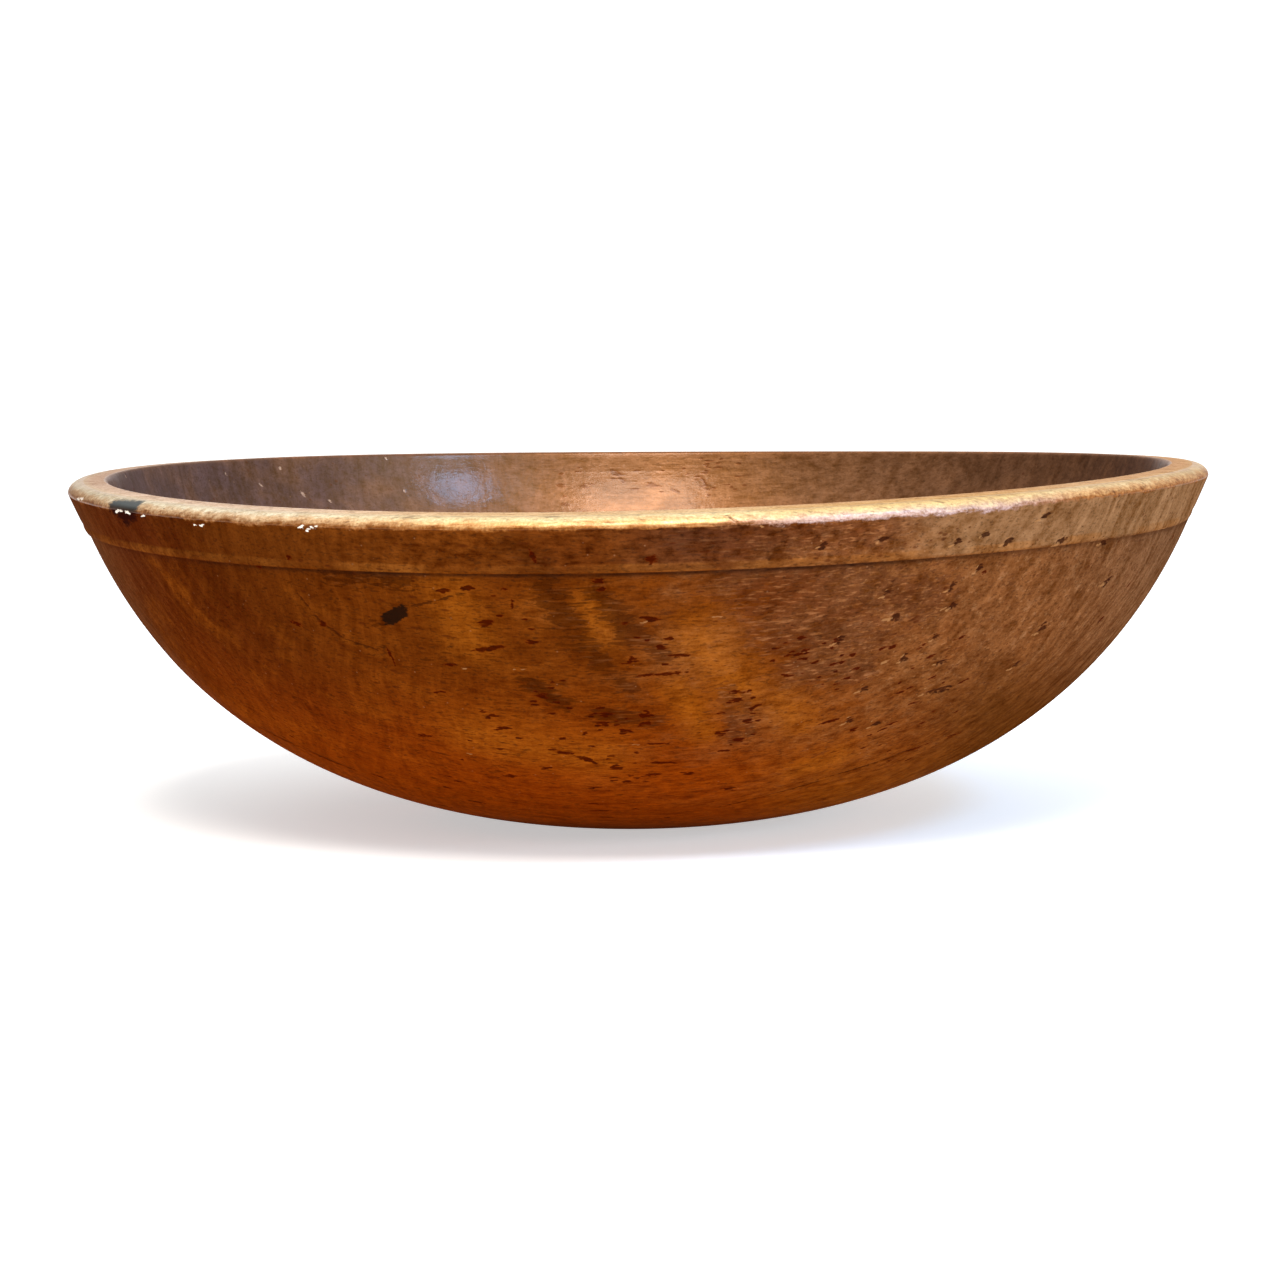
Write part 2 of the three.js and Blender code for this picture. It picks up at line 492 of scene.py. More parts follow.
def laid_mark(rng, kind, point, normal, lengths, widths, depth):
    """A mark of chance size, laid along the fibres."""
    lie = FIBRES - normal * (FIBRES @ normal)
    share = np.linalg.norm(lie)
    along = lie / share
    half_width = rng.uniform(*widths) / 2
    half_length = max(rng.uniform(*lengths) / 2 * share, half_width)
    return Mark(kind, point, along, np.cross(normal, along), half_length, half_width, depth, OVAL)


def scattered_fleck(rng, stretches, depth):
    """A fleck at a chance place between two stretches of the section."""
    first, last = stretches
    turn = SEAM_TURN + rng.uniform(SEAM_MARGIN, 2 * math.pi - SEAM_MARGIN)
    low, high = section.start_of(first), section.start_of(last)
    row = float(np.interp(rng.uniform(low, high), section.lengths, section.rows))
    point, normal = surface(turn, row), surface_normal(turn, row)
    return laid_mark(rng, "fleck", point, normal, SCATTER_LENGTHS, SCATTER_WIDTHS, depth)


def fleck_field(rng, photo, field, depth):
    """Small flecks at chance places in a box of the photograph."""
    x0, y0, x1, y1, count = field
    flecks = []
    for _ in range(count):
        point, normal = photo.place(rng.uniform(x0, x1), rng.uniform(y0, y1))
        flecks.append(laid_mark(rng, "fleck", point, normal, FIELD_LENGTHS, FIELD_WIDTHS, depth))
    return flecks


def flaked(rng, photo, ends):
    """A chip in the finish, as a cluster of small flakes."""
    x0, y0, x1, y1, width = ends
    flakes = []
    for _ in range(FLAKES_IN_CHIP):
        x = rng.uniform(x0, x1)
        y = rng.uniform(y0, y1) + rng.uniform(-1.8, 1.8) * width
        half = rng.uniform(0.7, 1.8)
        lean = rng.uniform(-0.8, 0.8)
        flake = (x - half, y - lean, x + half, y + lean, width * rng.uniform(0.4, 1.0))
        flakes.append(photo.mark("chip", flake, CHIP_DEPTH))
    return flakes


def clumped(rng, photo, kind, ends, depth):
    """A fleck or pit with two smaller ones that run into it."""
    x0, y0, x1, y1, width = ends
    clump = [photo.mark(kind, (x0, y0, x1, y1, 1.2 * width), depth)]
    for _ in range(2):
        start = rng.uniform(-0.2, 0.5)
        end = start + rng.uniform(0.4, 0.7)
        drop = rng.uniform(-2.5, 2.5) * width
        part = (x0 + start * (x1 - x0), y0 + start * (y1 - y0) + drop,
                x0 + end * (x1 - x0), y0 + end * (y1 - y0) + drop, 0.8 * width)
        clump.append(photo.mark(kind, part, depth))
    return clump


def pitted(rng, photo, ends):
    """A pit with a pale patch at its lower left edge and a smaller one above it."""
    x0, y0, x1, y1, width = ends
    reach = rng.uniform(2, 8)
    lip = (x0 - reach, y0 + 0.4 * reach, x0 + 2, y0, rng.uniform(0.45, 0.9) * width)
    cap = (x0 + 1, y0 - 5, x0 + rng.uniform(3, 7), y0 - 7, rng.uniform(0.2, 0.7) * width)
    pit = clumped(rng, photo, "pit", (x0, y0, x1, y1, 1.35 * width), PIT_DEPTH)
    return pit + [photo.mark("nick", edge, 0) for edge in (lip, cap)]


def make_marks(photo):
    """Every sunk mark: those of the photograph first, then chance ones all round."""
    rng = random.Random(SCATTER_SEED)
    marks = [mark for ends in FLECKS for mark in clumped(rng, photo, "fleck", ends, FLECK_DEPTH)]
    marks += [mark for ends in INNER_FLECKS for mark in clumped(rng, photo, "fleck", ends, INNER_DEPTH)]
    marks += [mark for ends in PITS for mark in pitted(rng, photo, ends)]
    marks += [mark for field in FLECK_FIELDS for mark in fleck_field(rng, photo, field, FIELD_DEPTH)]
    marks += [mark for field in INNER_FIELDS for mark in fleck_field(rng, photo, field, INNER_DEPTH)]
    marks += [photo.mark("knot", ends, KNOT_DEPTH, KNOT_SQUARE) for ends in KNOTS]
    marks += [photo.mark("crack", ends, CRACK_DEPTH) for ends in CRACKS]
    marks += [photo.mark("nick", ends, NICK_DEPTH) for ends in NICKS]
    marks += [flake for ends in CHIPS for flake in flaked(rng, photo, ends)]
    for _ in range(OUTER_SCATTER):
        marks.append(scattered_fleck(rng, ("body", "step"), SCATTER_DEPTH))
    for _ in range(INNER_SCATTER):
        marks.append(scattered_fleck(rng, ("inner_wall", "floor"), INNER_SCATTER_DEPTH))
    return marks


def back_patch(rng, kind, square):
    """A soft slanted streak at a chance place on the half that the photograph doesn't show."""
    turn = BACK_TURN + rng.uniform(-BACK_SPREAD, BACK_SPREAD)
    length = rng.uniform(section.start_of("body") + BACK_LOW, section.start_of("corner"))
    row = float(np.interp(length, section.lengths, section.rows))
    point, normal = surface(turn, row), surface_normal(turn, row)
    streak = laid_mark(rng, kind, point, normal, BACK_LENGTHS, BACK_WIDTHS, 0)
    lean = rng.uniform(-BACK_LEAN, BACK_LEAN)
    along = math.cos(lean) * streak.along + math.sin(lean) * streak.across
    return streak._replace(along=along, across=np.cross(normal, along), square=square)


def make_patches(photo):
    """Soft patches: clouds and glows of the photograph and of the back, and the rim's dark knot."""
    rng = random.Random(SCATTER_SEED + 1)
    patches = [photo.mark("cloud", ends, 0, CLOUD_SQUARE) for ends in CLOUDS]
    patches += [back_patch(rng, "cloud", CLOUD_SQUARE) for _ in range(BACK_CLOUDS)]
    patches += [back_patch(rng, "glow", OVAL) for _ in range(BACK_GLOWS)]
    patches += [photo.mark("glow", ends, 0) for ends in GLOWS]
    return patches + [photo.mark("stain", ends, STAIN_DEPTH) for ends in RIM_KNOT]


def near_mark(points, mark, reach):
    """Points near a mark on its own side of the wall, and their offsets from its middle."""
    near = np.flatnonzero(np.abs(points - mark.middle).max(axis=1) < reach)
    offset = points[near] - mark.middle
    same_side = np.abs(offset @ np.cross(mark.along, mark.across)) < WALL_THICKNESS / 2
    return near[same_side], offset[same_side]


def cover(points, mark):
    """Points that a mark covers, and how much of it each has, from 0 at its edge to 1."""
    near, offset = near_mark(points, mark, MARK_REACH * (mark.half_length + mark.half_width))
    along = np.abs(offset @ mark.along) / (MARK_FADE * mark.half_length)
    across = np.abs(offset @ mark.across) / (MARK_FADE * mark.half_width)
    return near, np.clip(1 - along ** mark.square - across ** mark.square, 0, 1)


def soft_cover(points, mark):
    """Fades out from the line between a patch's two ends, faster for a higher power."""
    offset = points - mark.middle
    run = np.clip(offset @ mark.along, -mark.half_length, mark.half_length)
    distance = np.linalg.norm(offset - np.outer(run, mark.along), axis=1)
    return np.exp(-(distance / (2 * mark.half_width)) ** mark.square)


def eye_distance(points, photo):
    """Distance to the nearest eye, as a share of its radius, up to 1."""
    nearest = np.ones(len(points))
    for x, y, radius in EYES:
        middle, _ = photo.place(x, y)
        nearest = np.minimum(nearest, np.linalg.norm(points - middle, axis=1) / radius)
    return nearest


# Bowl mesh

def make_sheet():
    """Flat grid of turn against row, which is refined before it is wrapped round."""
    sheet = bmesh.new()
    turns = np.linspace(0, 2 * math.pi, COLUMNS + 1) + SEAM_TURN
    grid = [[sheet.verts.new((turn, row, 0)) for row in range(section.last_row + 1)] for turn in turns]
    for left, right in zip(grid, grid[1:]):
        for row in range(section.last_row):
            sheet.faces.new((left[row], right[row], right[row + 1], left[row + 1]))
    return sheet


def refine(sheet, marks):
    """Splits the faces at the marks, over and over, in ever closer fit."""
    for margin in REFINE_MARGINS:
        faces = list(sheet.faces)
        flat = np.array([face.calc_center_median()[:2] for face in faces])
        centres = surface(flat[:, 0], flat[:, 1])
        chosen = np.zeros(len(faces), bool)
        for mark in marks:
            reach = mark.half_length + margin
            near, offset = near_mark(centres, mark, reach)
            inside = np.abs(offset @ mark.along) < reach
            inside &= np.abs(offset @ mark.across) < MARK_REACH * mark.half_width + margin
            chosen[near[inside]] = True
        edges = {edge for index in np.flatnonzero(chosen) for edge in faces[index].edges}
        bmesh.ops.subdivide_edges(sheet, edges=list(edges), cuts=1, use_grid_fill=True)
    many_sided = [face for face in sheet.faces if len(face.verts) > 4]
    bmesh.ops.triangulate(sheet, faces=many_sided)


def wrap(sheet):
    """Bends the flat sheet into the bowl and keeps each point's turn and row."""
    turn_layer = sheet.verts.layers.float.new("turn")
    row_layer = sheet.verts.layers.float.new("row")
    flat = np.array([v.co[:2] for v in sheet.verts])
    for vertex, (turn, row), place in zip(sheet.verts, flat, surface(flat[:, 0], flat[:, 1])):
        vertex[turn_layer] = turn
        vertex[row_layer] = row
        vertex.co = place
    bmesh.ops.remove_doubles(sheet, verts=sheet.verts[:], dist=1e-3)
    bmesh.ops.recalc_face_normals(sheet, faces=sheet.faces[:])
    sheet.normal_update()


def paint_and_sink(sheet, photo, marks):
    """Sinks the marks into the surface, and says how much of each kind every point has."""
    points = np.array([v.co for v in sheet.verts])
    normals = np.array([v.normal for v in sheet.verts])
    kinds = ("fleck", "pit", "knot", "crack", "nick", "chip", "cloud", "glow", "stain")
    paint = {kind: np.zeros(len(points)) for kind in kinds}
    sink = np.zeros(len(points))
    for mark in marks:
        near, amount = cover(points, mark)
        paint[mark.kind][near] = np.maximum(paint[mark.kind][near], amount)
        sink[near] = np.maximum(sink[near], amount * mark.depth)
    for patch in make_patches(photo):
        amount = soft_cover(points, patch)
        paint[patch.kind] = np.maximum(paint[patch.kind], amount)
        sink = np.maximum(sink, amount * patch.depth)
    paint["eye"] = eye_distance(points, photo)
    for vertex, place in zip(sheet.verts, (points - sink[:, None] * normals) * MM):
        vertex.co = place
    return paint


def add_bake_map(mesh, turns, rows):
    """Flat map for baking: the outside is one disc, and the rim's top with the inside another."""
    outer_middle, outer_radius = 0.34, 0.33
    inner_middle, inner_radius = 0.75, 0.24
    split = section.first_row["top"]
    split_length, whole_length = section.length(split), section.length(section.last_row)
    outward = section.length(rows) / split_length
    inward = (whole_length - section.length(rows)) / (whole_length - split_length)
    discs = {True: (outer_middle, outer_radius * outward), False: (inner_middle, inner_radius * inward)}
    layer = mesh.uv_layers.new(name="OFBake")
    for face in mesh.polygons:
        middle, radii = discs[min(rows[i] for i in face.vertices) < split]
        for loop, i in zip(face.loop_indices, face.vertices):
            u = middle + radii[i] * math.cos(turns[i])
            v = middle + radii[i] * math.sin(turns[i])
            layer.uv[loop].vector = (u, v)


def choose_materials(mesh, rows):
    """The worn corner and the inside take the rubbed wood, and all else the oiled wood."""
    corner, top, inner_edge = (section.first_row[name] for name in ("corner", "top", "inner_edge"))
    for face in mesh.polygons:
        row = min(rows[i] for i in face.vertices)
        face.material_index = int(corner <= row < top or row >= inner_edge)


def make_bowl():
    sheet = make_sheet()
    photo = Photo(sheet)
    marks = make_marks(photo)
    refine(sheet, marks)
    wrap(sheet)
    paint = paint_and_sink(sheet, photo, marks)
    mesh = bpy.data.meshes.new("bowl_wood")
    sheet.to_mesh(mesh)
    sheet.free()
    turns, rows = np.empty(len(mesh.vertices)), np.empty(len(mesh.vertices))
    mesh.attributes["turn"].data.foreach_get("value", turns)
    mesh.attributes["row"].data.foreach_get("value", rows)
    # Millimetres along the section from the start of the worn corner: the outside is below 0
    paint["rim"] = section.length(rows) - section.start_of("corner")
    for kind, values in paint.items():
        mesh.attributes.new(kind, "FLOAT", "POINT").data.foreach_set("value", values.astype(np.float32))
    choose_materials(mesh, rows)
    add_bake_map(mesh, turns, rows)
    mesh.shade_smooth()
    mesh.set_sharp_from_angle(angle=SHARP_ANGLE)
    return add_object("bowl_wood", mesh)


# Materials

def srgb(red, green, blue):
    """Colour as read from a picture, 0 to 255, as the shader wants it."""
    def straight(level):
        level /= 255
        return level / 12.92 if level <= 0.04045 else ((level + 0.055) / 1.055) ** 2.4
    return straight(red), straight(green), straight(blue), 1


class Nodes:
    """Short calls for a node tree. A value is a number, a colour or another node's output."""

    def __init__(self, tree):
        self.tree = tree

    def add(self, kind, inputs, output=0, **settings):
        node = self.tree.nodes.new(kind)
        for name, value in settings.items():
            setattr(node, name, value)
        for key, value in inputs.items():
            self.feed(node.inputs[key], value)
        return node.outputs[output]

    def feed(self, socket, value):
        if isinstance(value, bpy.types.NodeSocket):
            self.tree.links.new(value, socket)
        else:
            socket.default_value = value

    def shade(self, values):
        """Sets the surface shader's own inputs."""
        shader = self.tree.nodes["Principled BSDF"]
        for name, value in values.items():
            self.feed(shader.inputs[name], value)

    def math(self, operation, first, second=0.0):
        return self.add("ShaderNodeMath", {0: first, 1: second}, operation=operation)

    def times(self, *values):
        return reduce(lambda first, second: self.math("MULTIPLY", first, second), values)

    def plus(self, *values):
        return reduce(lambda first, second: self.math("ADD", first, second), values)

    def remap(self, value, low, high, to_low=0.0, to_high=1.0):
        ends = {"Value": value, "From Min": low, "From Max": high, "To Min": to_low, "To Max": to_high}
        return self.add("ShaderNodeMapRange", ends, interpolation_type="SMOOTHSTEP")

    def swing(self, pattern, strength, low=0.3, high=0.7):
        """Pattern as a number from minus to plus the strength."""
        return self.remap(pattern, low, high, -strength, strength)

    def blend(self, share, first, second, mode="MIX"):
        colours = {0: share, 6: first, 7: second}
        return self.add("ShaderNodeMix", colours, 2, data_type="RGBA", blend_type=mode)

    def axes(self, vector):
        return [self.add("ShaderNodeSeparateXYZ", {0: vector}, axis) for axis in "XYZ"]

    def stretch(self, vector, factors):
        return self.add("ShaderNodeVectorMath", {0: vector, 1: factors}, operation="MULTIPLY")

    def noise(self, vector, size, detail=2.0, roughness=0.5):
        return self.add("ShaderNodeTexNoise", {
            "Vector": vector, "Scale": 1 / size, "Detail": detail, "Roughness": roughness})

    def ramp(self, value, *stops):
        """Colour by the value, from a list of value and colour."""
        low, high = stops[0][0], stops[-1][0]
        share = self.math("DIVIDE", self.math("SUBTRACT", value, low), high - low)
        node = self.tree.nodes.new("ShaderNodeValToRGB")
        self.feed(node.inputs[0], share)
        elements = node.color_ramp.elements
        elements.remove(elements[-1])
        for index, (level, colour) in enumerate(stops):
            position = (level - low) / (high - low)
            element = elements[0] if index == 0 else elements.new(position)
            element.position = position
            element.color = colour
        return node.outputs[0]

    def bump(self, relief, height):
        return self.add("ShaderNodeBump", {"Height": relief, "Distance": height * MM, "Strength": 1.0})

    def attribute(self, name):
        return self.add("ShaderNodeAttribute", {}, "Fac", attribute_name=name)


def block_place(n):
    """Place in the block, in millimetres: first along the fibres, then across, then up."""
    place = n.add("ShaderNodeTexCoord", {}, "Object")
    return n.add("ShaderNodeMapping", {
        "Vector": place, "Rotation": (0, 0, -FIGURE_TURN), "Scale": (1 / MM, 1 / MM, 1 / MM)})


Figure = namedtuple("Figure", (
    "block along across height rim tone blotch dapple mottle "
    "fibre hatch rings curl ripple stroke grit"))


def make_figure(n):
    """Patterns of the wood that the colours and the relief share, and shares that go by the place."""
    block = block_place(n)
    sway = n.add("ShaderNodeTexNoise", {"Vector": block, "Scale": 1 / 40}, "Color")
    swayed = n.add("ShaderNodeVectorMath", {0: block, 1: n.stretch(sway, (20, 20, 20))}, operation="ADD")
    along, across, height = n.axes(block)

    def by(place):
        return lambda *ends: n.remap(place, *ends)

    return Figure(
        block=block,
        along=by(along),
        across=by(across),
        height=by(height),
        rim=by(n.attribute("rim")),
        tone=n.noise(n.stretch(block, (0.5, 1, 1)), 50, 3),
        blotch=n.noise(n.stretch(block, (0.6, 1, 1)), 14, 4, 0.6),
        dapple=n.noise(block, 5, 3, 0.6),
        mottle=n.noise(n.stretch(block, (0.45, 1, 1)), 2.0, 5, 0.7),
        fibre=n.noise(n.stretch(block, (0.08, 0.5, 1)), 0.8, 2),
        hatch=n.noise(n.stretch(block, (0.1, 0.5, 1)), 0.8, 2),
        rings=n.noise(n.stretch(swayed, (0.02, 1, 0.06)), 2.2, 2),
        curl=n.noise(n.stretch(swayed, (1, 0.12, 0.08)), 1.7, 3, 0.6),
        ripple=n.noise(n.stretch(swayed, (0.7, 1, 0.5)), 3, 3, 0.6),
        stroke=n.noise(n.stretch(block, (0.5, 1, 1)), 1.2, 2),
        grit=n.noise(block, 0.6, 3, 0.6),
    )


def dash_pattern(n, block, length, width, share):
    """Short dark dashes along the fibres, at chance places."""
    cells = n.stretch(block, (1 / length, 1 / width, 1 / width))
    distance = n.add("ShaderNodeTexVoronoi", {"Vector": cells, "Scale": 1}, "Distance")
    cell = n.add("ShaderNodeTexVoronoi", {"Vector": cells, "Scale": 1}, "Color")
    chance = n.add("ShaderNodeSeparateColor", {0: cell}, "Red")
    return n.times(n.remap(distance, 0.36, 0.16), n.remap(chance, 1 - share, 1 - 0.8 * share))


def oiled_colour(n, wood):
    """Outside: darker at the left end as painted shade, orange towards the foot partly as painted light
    from below, darker at the very foot as painted shade, with golden places.
    """
    colour = n.blend(n.remap(wood.tone, 0.36, 0.64), srgb(82, 35, 4), srgb(95, 43, 6))
    # Painted shade: the left end is darkened as if it lay away from the light.
    colour = n.blend(wood.along(-30, -130, 0, 0.85), colour, srgb(64, 29, 6))
    colour = n.blend(n.remap(wood.blotch, 0.48, 0.75, 0, 0.7), colour, srgb(112, 56, 10))
    # Painted light: towards the foot the colour turns a brighter orange, standing in for light thrown up
    # from the floor, on top of the wood's own orange tone.
    low = n.times(wood.height(60, 4, 0, 0.75), wood.along(40, 100, 1, 0.6))
    orange = n.blend(wood.along(20, 60), srgb(130, 51, 2), srgb(128, 63, 8))
    colour = n.blend(low, colour, orange)
    # Painted shade: the lowest few millimetres darken where the bowl meets the floor.
    colour = n.blend(wood.height(8, 1.5, 0, 0.85), colour, srgb(66, 22, 2))
    colour = add_handling(n, colour, wood)
    colour = n.blend(wood.along(100, 150, 0, 0.7), colour, srgb(88, 62, 42))
    colour = n.blend(wood.along(-105, -148, 0, 0.75), colour, srgb(72, 46, 29))
    return n.blend(n.times(n.attribute("glow"), 0.55), colour, srgb(134, 70, 13))


def add_handling(n, colour, wood):
    """Right side: dulled by hands, with scuffs and strokes, and dark low down."""
    along, _, _ = n.axes(wood.block)
    reach = n.plus(along, n.swing(wood.blotch, 30))
    dull = n.times(n.remap(reach, 0, 95, 0, 0.85), wood.height(12, 55, 0.15, 1))
    colour = n.blend(dull, colour, srgb(106, 63, 32))
    scuffs = n.remap(n.noise(wood.block, 3, 4, 0.65), 0.5, 0.75, 0, 0.4)
    colour = n.blend(n.times(dull, scuffs), colour, srgb(140, 98, 64))
    colour = n.blend(n.times(dull, n.remap(wood.stroke, 0.6, 0.75, 0, 0.4)), colour, srgb(150, 102, 64))
    colour = n.blend(n.times(dull, n.remap(wood.stroke, 0.4, 0.26, 0, 0.4)), colour, srgb(72, 32, 13))
    under = n.times(wood.along(62, 96), wood.height(60, 32, 0, 0.75))
    return n.blend(under, colour, srgb(72, 37, 8))


def add_clouds(n, colour, wood):
    """Dark hatched stains with pale scratches across them."""
    cloud = n.attribute("cloud")
    ragged = n.plus(n.swing(wood.hatch, 0.55), n.swing(wood.mottle, 0.3))
    hatched = n.remap(n.plus(cloud, ragged), 0.42, 0.72)
    dark = n.blend(wood.along(0, 40), srgb(50, 17, 1), srgb(58, 26, 13))
    colour = n.blend(n.times(cloud, 0.15), colour, dark)
    colour = n.blend(n.times(hatched, wood.along(0, 40, 0.7, 0.42)), colour, dark)
    scratch = n.noise(n.stretch(wood.block, (0.1, 0.5, 1)), 0.6, 1)
    scratched = n.times(n.remap(scratch, 0.52, 0.75), n.remap(cloud, 0.2, 0.7))
    return n.blend(n.times(scratched, wood.along(-5, 30, 0.1, 0.42)), colour, srgb(140, 88, 50))


def dry_colour(n, wood):
    """Inside: greyer at the left, browner at the right."""
    colour = n.blend(wood.along(-100, 5), srgb(64, 46, 45), srgb(96, 62, 39))
    colour = n.blend(wood.along(30, 110, 0, 0.8), colour, srgb(80, 51, 33))
    return n.blend(n.remap(wood.blotch, 0.45, 0.75, 0, 0.35), colour, srgb(116, 77, 49))


def add_band_lines(n, colour, wood):
    """Brown band, dried paler at the right, with a rubbed bead painted lighter as a highlight and painted
    shadow under it.
    """
    low, high = (section.start_of(name) - section.start_of("corner") for name in ("bead", "band"))
    band = n.times(wood.rim(low, low + 1), wood.rim(1, 0))
    rubbed = n.times(wood.along(-115, -85), wood.along(0, -30))
    dirty = n.times(wood.along(5, 20), wood.along(60, 40))
    brown = n.blend(rubbed, n.blend(dirty, srgb(68, 30, 7), srgb(58, 31, 17)), srgb(84, 41, 9))
    colour = n.blend(n.times(band, wood.along(70, 20, 0, 0.6)), colour, brown)
    colour = n.blend(n.times(band, wood.along(64, 92, 0, 0.85)), colour, srgb(118, 82, 52))
    # The bead is painted lighter, partly as rubbed finish and partly as a painted highlight where it
    # catches the light.
    bead = n.times(wood.rim(low - 0.1, low + 0.4), wood.rim(high + 0.4, high - 0.4))
    colour = n.blend(n.times(bead, n.remap(wood.blotch, 0.35, 0.65, 0, 0.45)), colour, srgb(122, 70, 24))
    # Painted shadow: a dark zone under the bead where shade falls below the band's step, broken up by the
    # blotches.
    painted_shade_under_bead = n.times(wood.rim(low - 3.5, low - 0.3), wood.rim(low + 0.2, low))
    colour = n.blend(n.times(painted_shade_under_bead, n.remap(wood.blotch, 0.3, 0.7, 0.1, 0.6)), colour, srgb(48, 22, 12))
    # Painted shadow: a darker line just under the step, strongest in the middle and broken up by dapples.
    step = n.times(wood.rim(low - 2.2, low - 1.3), wood.rim(low + 0.15, low))
    deep = n.times(wood.along(-110, -60, 0.35, 1), wood.along(70, 110, 1, 0.3))
    broken = n.remap(wood.dapple, 0.35, 0.65, 0.35, 0.8)
    return n.blend(n.times(step, n.times(deep, broken)), colour, srgb(36, 14, 5))


def fine_grain(n, wood, ends, calm):
    """Lines and grit that run all over the wood."""
    return n.plus(
        0.5, n.times(n.swing(wood.curl, 0.17), wood.along(0, -60, 0.2, 1.0)),
        n.times(n.swing(wood.rings, 0.1), n.plus(1, ends)), n.swing(wood.fibre, 0.05),
        n.times(n.swing(wood.hatch, 0.13), calm, wood.along(-80, -20, 0.4, 1.0)),
        n.swing(wood.grit, 0.08))


def coarse_grain(n, shade, wood, ends, calm):
    """Dapples, mottles and ripples, which differ from place to place."""
    dappled = n.swing(wood.dapple, 0.2)
    mottled = n.times(n.swing(wood.mottle, 0.27, 0.25, 0.75), calm)
    handled = n.times(wood.along(-20, 90, 0.3, 1.0), n.plus(1, n.times(ends, -0.5)))
    on_band = n.times(wood.rim(-11, -9), wood.rim(2, 0))
    patchy = n.plus(n.times(dappled, wood.along(50, 90, 0.7, -0.6)),
                    n.times(mottled, wood.along(50, 90, 0.8, -0.6)))
    return n.plus(
        shade, n.times(dappled, handled), n.times(mottled, wood.along(-90, 0, 0.4, 1.0)),
        n.times(mottled, wood.rim(12, 14, 0, 0.5)),
        n.times(on_band, n.times(patchy, wood.along(-70, -30))),
        n.times(n.swing(wood.ripple, 0.18), wood.along(40, 90)))


def eye_rings(n, wood):
    """Wavy rings round the eyes in the wood."""
    eye = n.attribute("eye")
    wave = n.math("SINE", n.plus(n.times(eye, 22), n.times(n.noise(wood.block, 5, 2), 24)))
    return n.times(wave, n.remap(eye, 1, 0.3, 0, 0.12))


def add_grain(n, colour, wood):
    """Grain turns the colour towards dark red or towards pale gold."""
    along, _, _ = n.axes(wood.block)
    ends = n.remap(n.math("ABSOLUTE", along), 80, 125)
    calm = wood.along(60, 100, 1, 0.65)
    shade = coarse_grain(n, fine_grain(n, wood, ends, calm), wood, ends, calm)
    shade = n.plus(shade, eye_rings(n, wood))
    tint = n.blend(shade, (0.5, 0.38, 0.2, 1), (1.5, 1.62, 1.8, 1))
    return n.blend(1.0, colour, tint, "MULTIPLY")


def bare_colour(n, wood, edge, wear_and_sheen):
    """Bare wood, by how far over the worn corner it lies: where wear_and_sheen is set, its lower edge is
    worn pale and carries a painted lavender sheen, its top more golden; greyer towards both ends.
    """
    bare = n.ramp(edge, (-1, srgb(84, 42, 14)), (0.4, srgb(132, 80, 36)), (1.8, srgb(190, 152, 102)),
                  (3.4, srgb(203, 184, 138)), (5.5, srgb(192, 166, 124)), (7.5, srgb(186, 154, 116)),
                  (11, srgb(182, 150, 114)))
    # Worn pale and painted sheen: lavender at the corner's lower edge, more golden above it.
    pale = n.ramp(edge, (-1, srgb(92, 54, 34)), (-0.1, srgb(124, 90, 74)), (0.9, srgb(164, 138, 132)),
                  (2.2, srgb(186, 160, 124)), (3.6, srgb(194, 168, 114)), (6, srgb(178, 142, 94)),
                  (11, srgb(170, 132, 94)))
    bare = n.blend(wear_and_sheen, bare, pale)
    ends = n.blend(wood.along(-20, -90), (1, 1, 1, 1), (0.97, 1.08, 1.46, 1))
    ends = n.blend(wood.along(-115, -150), ends, (0.78, 0.82, 1.1, 1))
    ends = n.blend(wood.along(70, 150), ends, (0.8, 0.7, 0.68, 1))
    bare = n.blend(1.0, bare, ends, "MULTIPLY")
    mottled = n.remap(wood.mottle, 0.25, 0.75, 0.2, 0.8)
    grain = n.plus(mottled, n.swing(wood.hatch, 0.25), n.swing(wood.grit, 0.3))
    tint = n.blend(grain, (0.74, 0.66, 0.58, 1), (1.18, 1.22, 1.25, 1))
    return n.blend(1.0, bare, tint, "MULTIPLY")


def add_rim_wear(n, colour, wood):
    """Bare wood where the rim is rubbed through its finish, with a ragged edge."""
    wander = n.swing(n.noise(wood.block, 8, 4, 0.65), 0.6, 0.25, 0.75)
    frayed = n.plus(n.swing(wood.hatch, 0.3), n.swing(wood.grit, 0.2, 0.25, 0.75))
    # Wear and painted sheen: along the right part of the corner the bare wood reaches lower, and
    # bare_colour paints its lower edge pale as a reflection.
    wear_and_sheen = n.times(wood.along(25, 55), wood.along(120, 95))
    edge = n.plus(n.plus(n.attribute("rim"), n.times(wear_and_sheen, 0.4)), n.plus(wander, frayed))
    worn = n.times(n.remap(edge, -0.4, 0.5), wood.rim(12.0, 10.9))
    return n.blend(worn, colour, bare_colour(n, wood, edge, wear_and_sheen))


def add_dashes(n, colour, wood):
    """Fine dashes and specks all over, and coarse dashes in clumps where the photograph doesn't reach."""
    long_dashes = dash_pattern(n, wood.block, 7, 1.5, 0.06)
    short_dashes = dash_pattern(n, wood.block, 3, 0.9, 0.06)
    colour = n.blend(n.times(n.math("MAXIMUM", long_dashes, short_dashes), 0.6), colour, srgb(60, 20, 4))
    clump = n.remap(n.noise(wood.block, 20, 2), 0.48, 0.6)
    back = n.times(wood.across(0, 30), wood.rim(0, -2))
    unseen = n.math("MAXIMUM", back, wood.rim(32, 45))
    clumped_dashes = n.times(dash_pattern(n, wood.block, 12, 3, 0.4), n.times(clump, unseen))
    colour = n.blend(n.times(clumped_dashes, 0.85), colour, srgb(46, 10, 1))
    specks = dash_pattern(n, wood.block, 0.9, 0.9, 0.012)
    return n.blend(n.times(specks, 0.25), colour, srgb(150, 108, 76))


